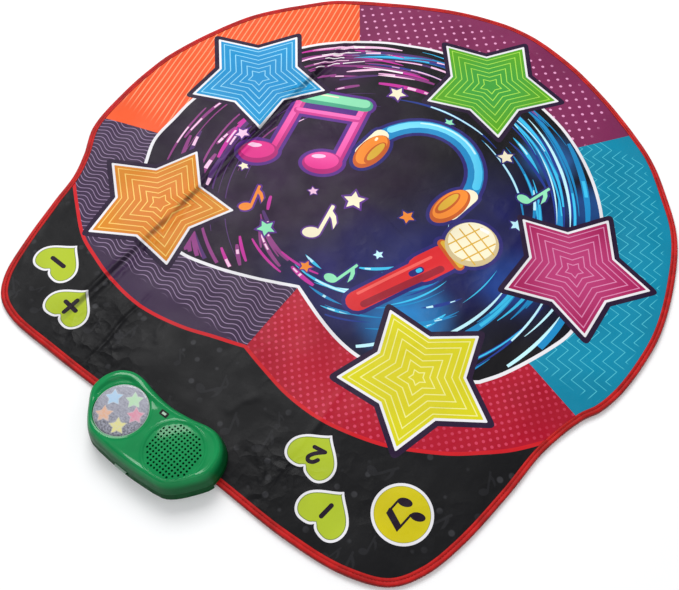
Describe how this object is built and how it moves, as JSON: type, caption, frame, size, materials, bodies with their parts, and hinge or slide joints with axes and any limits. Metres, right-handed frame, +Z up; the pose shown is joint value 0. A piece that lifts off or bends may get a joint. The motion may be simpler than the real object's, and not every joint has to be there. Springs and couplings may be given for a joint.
{
  "type": "electronic dance mat",
  "caption": "Flat round-backed dance play mat with star and heart pressure pads, bound edge, and a sound unit with perforated speaker and light window.",
  "frame": {"origin": "centre of the round dancing field, on the underside of the mat", "axes": "+Z up, +Y towards the round back edge, -Y towards the sound unit on the front edge, +X to the right seen from the front"},
  "size_m": [0.9006, 0.9843, 0.0402],
  "materials": {
    "base_fabric": "matt anti-slip woven backing",
    "contact_film": "printed polyester contact film",
    "spacer_foam": "open-cell foam sheet",
    "printed_sheet": "semi-gloss coated cloth on foam, printed",
    "binding_tape": "woven binding tape, stitched",
    "print_green": "semi-gloss print",
    "print_blue": "semi-gloss print",
    "print_pink": "semi-gloss print",
    "print_yellow": "semi-gloss print",
    "print_orange": "semi-gloss print",
    "print_lime": "semi-gloss print",
    "print_gold": "semi-gloss print",
    "contact_puck": "carbon-faced foam",
    "green_shell": "satin moulded plastic",
    "screw_steel": "zinc plated",
    "cell_wrap": "printed cell jacket",
    "contact_metal": "nickel plated",
    "frosted_lens": "frosted window",
    "indicator_lens": "clear moulded plastic",
    "board_laminate": "solder mask",
    "chip_black": "matt moulding",
    "connector_white": "satin moulding",
    "led_lens": "clear moulding",
    "film_tail": "flexible film",
    "speaker_steel": "plated pressing",
    "speaker_paper": "matt paper cone",
    "magnet_black": "coated ferrite",
    "slider_plastic": "satin moulding",
    "switch_black": "matt moulding",
    "wire_red": "soft insulation",
    "wire_black": "soft insulation"
  },
  "bodies": {
    "mat_and_unit": {"base_sheet": "base_fabric", "lower_contact_film": "contact_film", "spacer_foam": "spacer_foam", "upper_contact_film": "contact_film", "top_sheet": "printed_sheet", "edge_binding": "binding_tape", "lower_shell": "green_shell", "upper_shell": "green_shell", "cell_1": "cell_wrap", "cell_2": "cell_wrap", "cell_3": "cell_wrap", "left_cell_contact": "contact_metal", "right_cell_contact": "contact_metal", "window_lens": "frosted_lens", "indicator_lens": "indicator_lens", "circuit_board": "board_laminate", "sound_chip": "chip_black", "tail_connector": "connector_white", "film_tail": "film_tail", "speaker_frame": "speaker_steel", "speaker_cone": "speaker_paper", "speaker_magnet": "magnet_black", "power_switch_body": "switch_black", "speaker_wires": "wire_red", "battery_wires": "wire_black", "green_led": "led_lens", "blue_led": "led_lens", "pink_led": "led_lens", "orange_led": "led_lens", "yellow_led": "led_lens", "board_screw_1": "screw_steel", "board_screw_2": "screw_steel", "left_shell_screw": "screw_steel", "right_shell_screw": "screw_steel", "left_clamp_screw": "screw_steel", "right_clamp_screw": "screw_steel"},
    "green_star": {"green_star_pad": "print_green", "green_star_contact": "contact_puck"},
    "blue_star": {"blue_star_pad": "print_blue", "blue_star_contact": "contact_puck"},
    "pink_star": {"pink_star_pad": "print_pink", "pink_star_contact": "contact_puck"},
    "yellow_star": {"yellow_star_pad": "print_yellow", "yellow_star_contact": "contact_puck"},
    "orange_star": {"orange_star_pad": "print_orange", "orange_star_contact": "contact_puck"},
    "minus_heart": {"minus_heart_pad": "print_lime", "minus_heart_contact": "contact_puck"},
    "plus_heart": {"plus_heart_pad": "print_lime", "plus_heart_contact": "contact_puck"},
    "two_heart": {"two_heart_pad": "print_lime", "two_heart_contact": "contact_puck"},
    "one_heart": {"one_heart_pad": "print_lime", "one_heart_contact": "contact_puck"},
    "note": {"note_pad": "print_gold", "note_contact": "contact_puck"},
    "power_slider": {"switch_slider": "slider_plastic"},
    "cell_door": {"battery_door": "green_shell", "door_screw": "screw_steel"}
  },
  "joints": [
    {"name": "green_star_press", "type": "slide", "parent": "mat_and_unit", "child": "green_star", "axis": [0, 0, -1], "range_m": [0, 0.001], "stiffness_N_per_m": 6000, "springref_m": -0.0003},
    {"name": "blue_star_press", "type": "slide", "parent": "mat_and_unit", "child": "blue_star", "axis": [0, 0, -1], "range_m": [0, 0.001], "stiffness_N_per_m": 6000, "springref_m": -0.0003},
    {"name": "pink_star_press", "type": "slide", "parent": "mat_and_unit", "child": "pink_star", "axis": [0, 0, -1], "range_m": [0, 0.001], "stiffness_N_per_m": 6000, "springref_m": -0.0003},
    {"name": "yellow_star_press", "type": "slide", "parent": "mat_and_unit", "child": "yellow_star", "axis": [0, 0, -1], "range_m": [0, 0.001], "stiffness_N_per_m": 6000, "springref_m": -0.0003},
    {"name": "orange_star_press", "type": "slide", "parent": "mat_and_unit", "child": "orange_star", "axis": [0, 0, -1], "range_m": [0, 0.001], "stiffness_N_per_m": 6000, "springref_m": -0.0003},
    {"name": "minus_heart_press", "type": "slide", "parent": "mat_and_unit", "child": "minus_heart", "axis": [0, 0, -1], "range_m": [0, 0.001], "stiffness_N_per_m": 3000, "springref_m": -0.0003},
    {"name": "plus_heart_press", "type": "slide", "parent": "mat_and_unit", "child": "plus_heart", "axis": [0, 0, -1], "range_m": [0, 0.001], "stiffness_N_per_m": 3000, "springref_m": -0.0003},
    {"name": "two_heart_press", "type": "slide", "parent": "mat_and_unit", "child": "two_heart", "axis": [0, 0, -1], "range_m": [0, 0.001], "stiffness_N_per_m": 3000, "springref_m": -0.0003},
    {"name": "one_heart_press", "type": "slide", "parent": "mat_and_unit", "child": "one_heart", "axis": [0, 0, -1], "range_m": [0, 0.001], "stiffness_N_per_m": 3000, "springref_m": -0.0003},
    {"name": "note_press", "type": "slide", "parent": "mat_and_unit", "child": "note", "axis": [0, 0, -1], "range_m": [0, 0.001], "stiffness_N_per_m": 3000, "springref_m": -0.0003},
    {"name": "power_switch_slide", "type": "slide", "parent": "mat_and_unit", "child": "power_slider", "axis": [1, 0, 0], "range_m": [0, 0.004]},
    {"name": "battery_door_hinge", "type": "hinge", "parent": "mat_and_unit", "child": "cell_door", "pos_m": [-0.0758, -0.4892, 0.0006], "axis": [0, 1, 0], "range_deg": [0, 32]}
  ]
}
